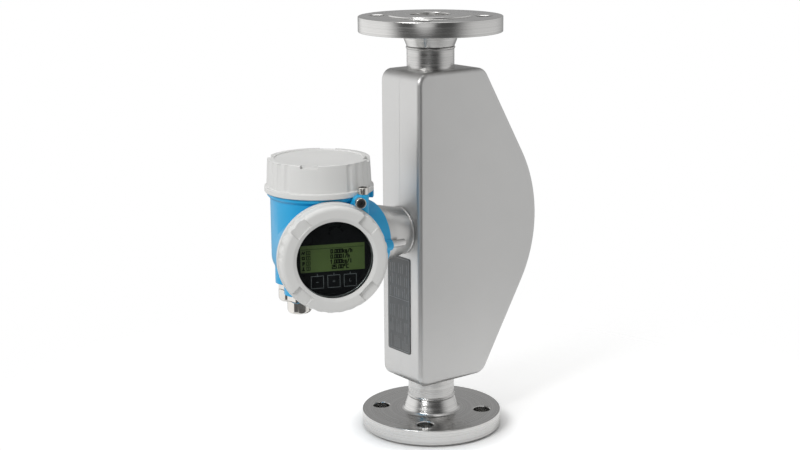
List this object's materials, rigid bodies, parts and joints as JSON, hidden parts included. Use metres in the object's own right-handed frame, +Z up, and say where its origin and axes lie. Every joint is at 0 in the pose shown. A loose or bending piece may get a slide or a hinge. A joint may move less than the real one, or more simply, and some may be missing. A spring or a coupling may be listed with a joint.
{
  "type": "coriolis flow meter",
  "caption": "Flanged coriolis flow meter: pressed steel casing round bent measuring tubes, with a turnable two-chamber transmitter on a side neck.",
  "frame": {"origin": "centre of the lower flange's raised face, on the pipe axis", "axes": "+Z up the pipe axis from the lower flange to the upper, +X towards the casing's bulge, transmitter on the -X side"},
  "size_m": [0.3372, 0.1585, 0.445],
  "materials": {
    "casing_satin": "bead-blasted stainless sheet",
    "coil_copper": "wound copper",
    "cover_white": "off-white powder coat on die-cast aluminium",
    "display_black": "black plastic",
    "glass_clear": "clear toughened glass",
    "housing_blue": "blue powder coat on die-cast aluminium",
    "magnet_dark": "plated magnet",
    "module_black": "black moulded plastic",
    "neck_satin": "satin stainless steel",
    "nickel": "nickel-plated brass",
    "pin_gold": "plated pins",
    "plate_grey": "anodised plate",
    "screen_olive": "liquid crystal panel",
    "screw_dark": "dark steel",
    "seal_black": "matte elastomer",
    "steel_flange": "turned stainless steel",
    "steel_inner": "machined stainless steel",
    "steel_pipe": "drawn stainless steel",
    "terminal_green": "green terminal plastic"
  },
  "bodies": {
    "sensor": {"flange_bottom": "steel_flange", "flange_top": "steel_flange", "pipe_stub_bottom": "steel_pipe", "pipe_stub_top": "steel_pipe", "splitter_bottom": "steel_inner", "splitter_top": "steel_inner", "measuring_tube_front": "steel_inner", "measuring_tube_rear": "steel_inner", "brace_plate_1": "steel_inner", "brace_plate_2": "steel_inner", "brace_plate_3": "steel_inner", "brace_plate_4": "steel_inner", "support_beam": "steel_inner", "coil_brackets": "steel_inner", "magnet_brackets": "steel_inner", "drive_coil": "coil_copper", "pickoff_coil_bottom": "coil_copper", "pickoff_coil_top": "coil_copper", "drive_magnet": "magnet_dark", "pickoff_magnet_bottom": "magnet_dark", "pickoff_magnet_top": "magnet_dark", "temperature_sensor": "steel_inner", "casing_shell_front": "casing_satin", "casing_shell_rear": "casing_satin", "nameplate": "plate_grey", "sensor_neck": "neck_satin", "neck_seal": "seal_black", "feedthrough": "steel_inner", "feedthrough_pins": "pin_gold"},
    "transmitter": {"transmitter_housing": "housing_blue", "housing_lock_screw": "screw_dark", "electronics_module": "module_black", "io_module": "module_black", "terminal_block": "terminal_green", "terminal_screws": "nickel", "connection_cover_clamp": "nickel", "display_cover_clamp": "nickel", "clamp_screws": "screw_dark", "gland_body_front": "nickel", "gland_body_rear": "nickel", "gland_nut_front": "nickel", "gland_nut_rear": "nickel", "gland_insert_front": "seal_black", "gland_insert_rear": "seal_black", "gland_washer_front": "seal_black", "gland_washer_rear": "seal_black"},
    "connection_seal_ring": {"connection_cover_seal": "seal_black"},
    "connection_cover": {"connection_cover": "cover_white"},
    "display_seal_ring": {"display_cover_seal": "seal_black"},
    "display_cover": {"display_cover": "cover_white", "display_glass": "glass_clear", "glass_gasket": "seal_black", "glass_ring": "steel_inner"},
    "display_module": {"display_case": "module_black", "display_front": "display_black", "display_screen": "screen_olive"}
  },
  "joints": [
    {"name": "housing_rotation", "type": "hinge", "parent": "sensor", "child": "transmitter", "pos_m": [-0.08, 0, 0.2225], "axis": [1, 0, 0], "range_deg": [-175, 175]},
    {"name": "connection_cover_lift", "type": "slide", "parent": "transmitter", "child": "connection_seal_ring", "axis": [0, 0, 1], "range_m": [0, 0.0111]},
    {"name": "connection_cover_turn", "type": "hinge", "parent": "connection_seal_ring", "child": "connection_cover", "pos_m": [-0.142, 0, 0.2825], "axis": [0, 0, 1], "range_deg": [0, 1980]},
    {"name": "display_cover_lift", "type": "slide", "parent": "transmitter", "child": "display_seal_ring", "axis": [-0.3746, -0.9272, 0], "range_m": [0, 0.0081]},
    {"name": "display_cover_turn", "type": "hinge", "parent": "display_seal_ring", "child": "display_cover", "pos_m": [-0.16448, -0.05563, 0.2225], "axis": [-0.3746, -0.9272, 0], "range_deg": [0, 1440]},
    {"name": "display_rotation", "type": "hinge", "parent": "transmitter", "child": "display_module", "pos_m": [-0.16073, -0.04636, 0.2225], "axis": [-0.3746, -0.9272, 0], "range_deg": [-180, 180]}
  ],
  "couplings": [
    {"joint": "connection_cover_lift", "follows": "connection_cover_turn", "m_per_rad": 0.00031831},
    {"joint": "display_cover_lift", "follows": "display_cover_turn", "m_per_rad": 0.00031831}
  ]
}
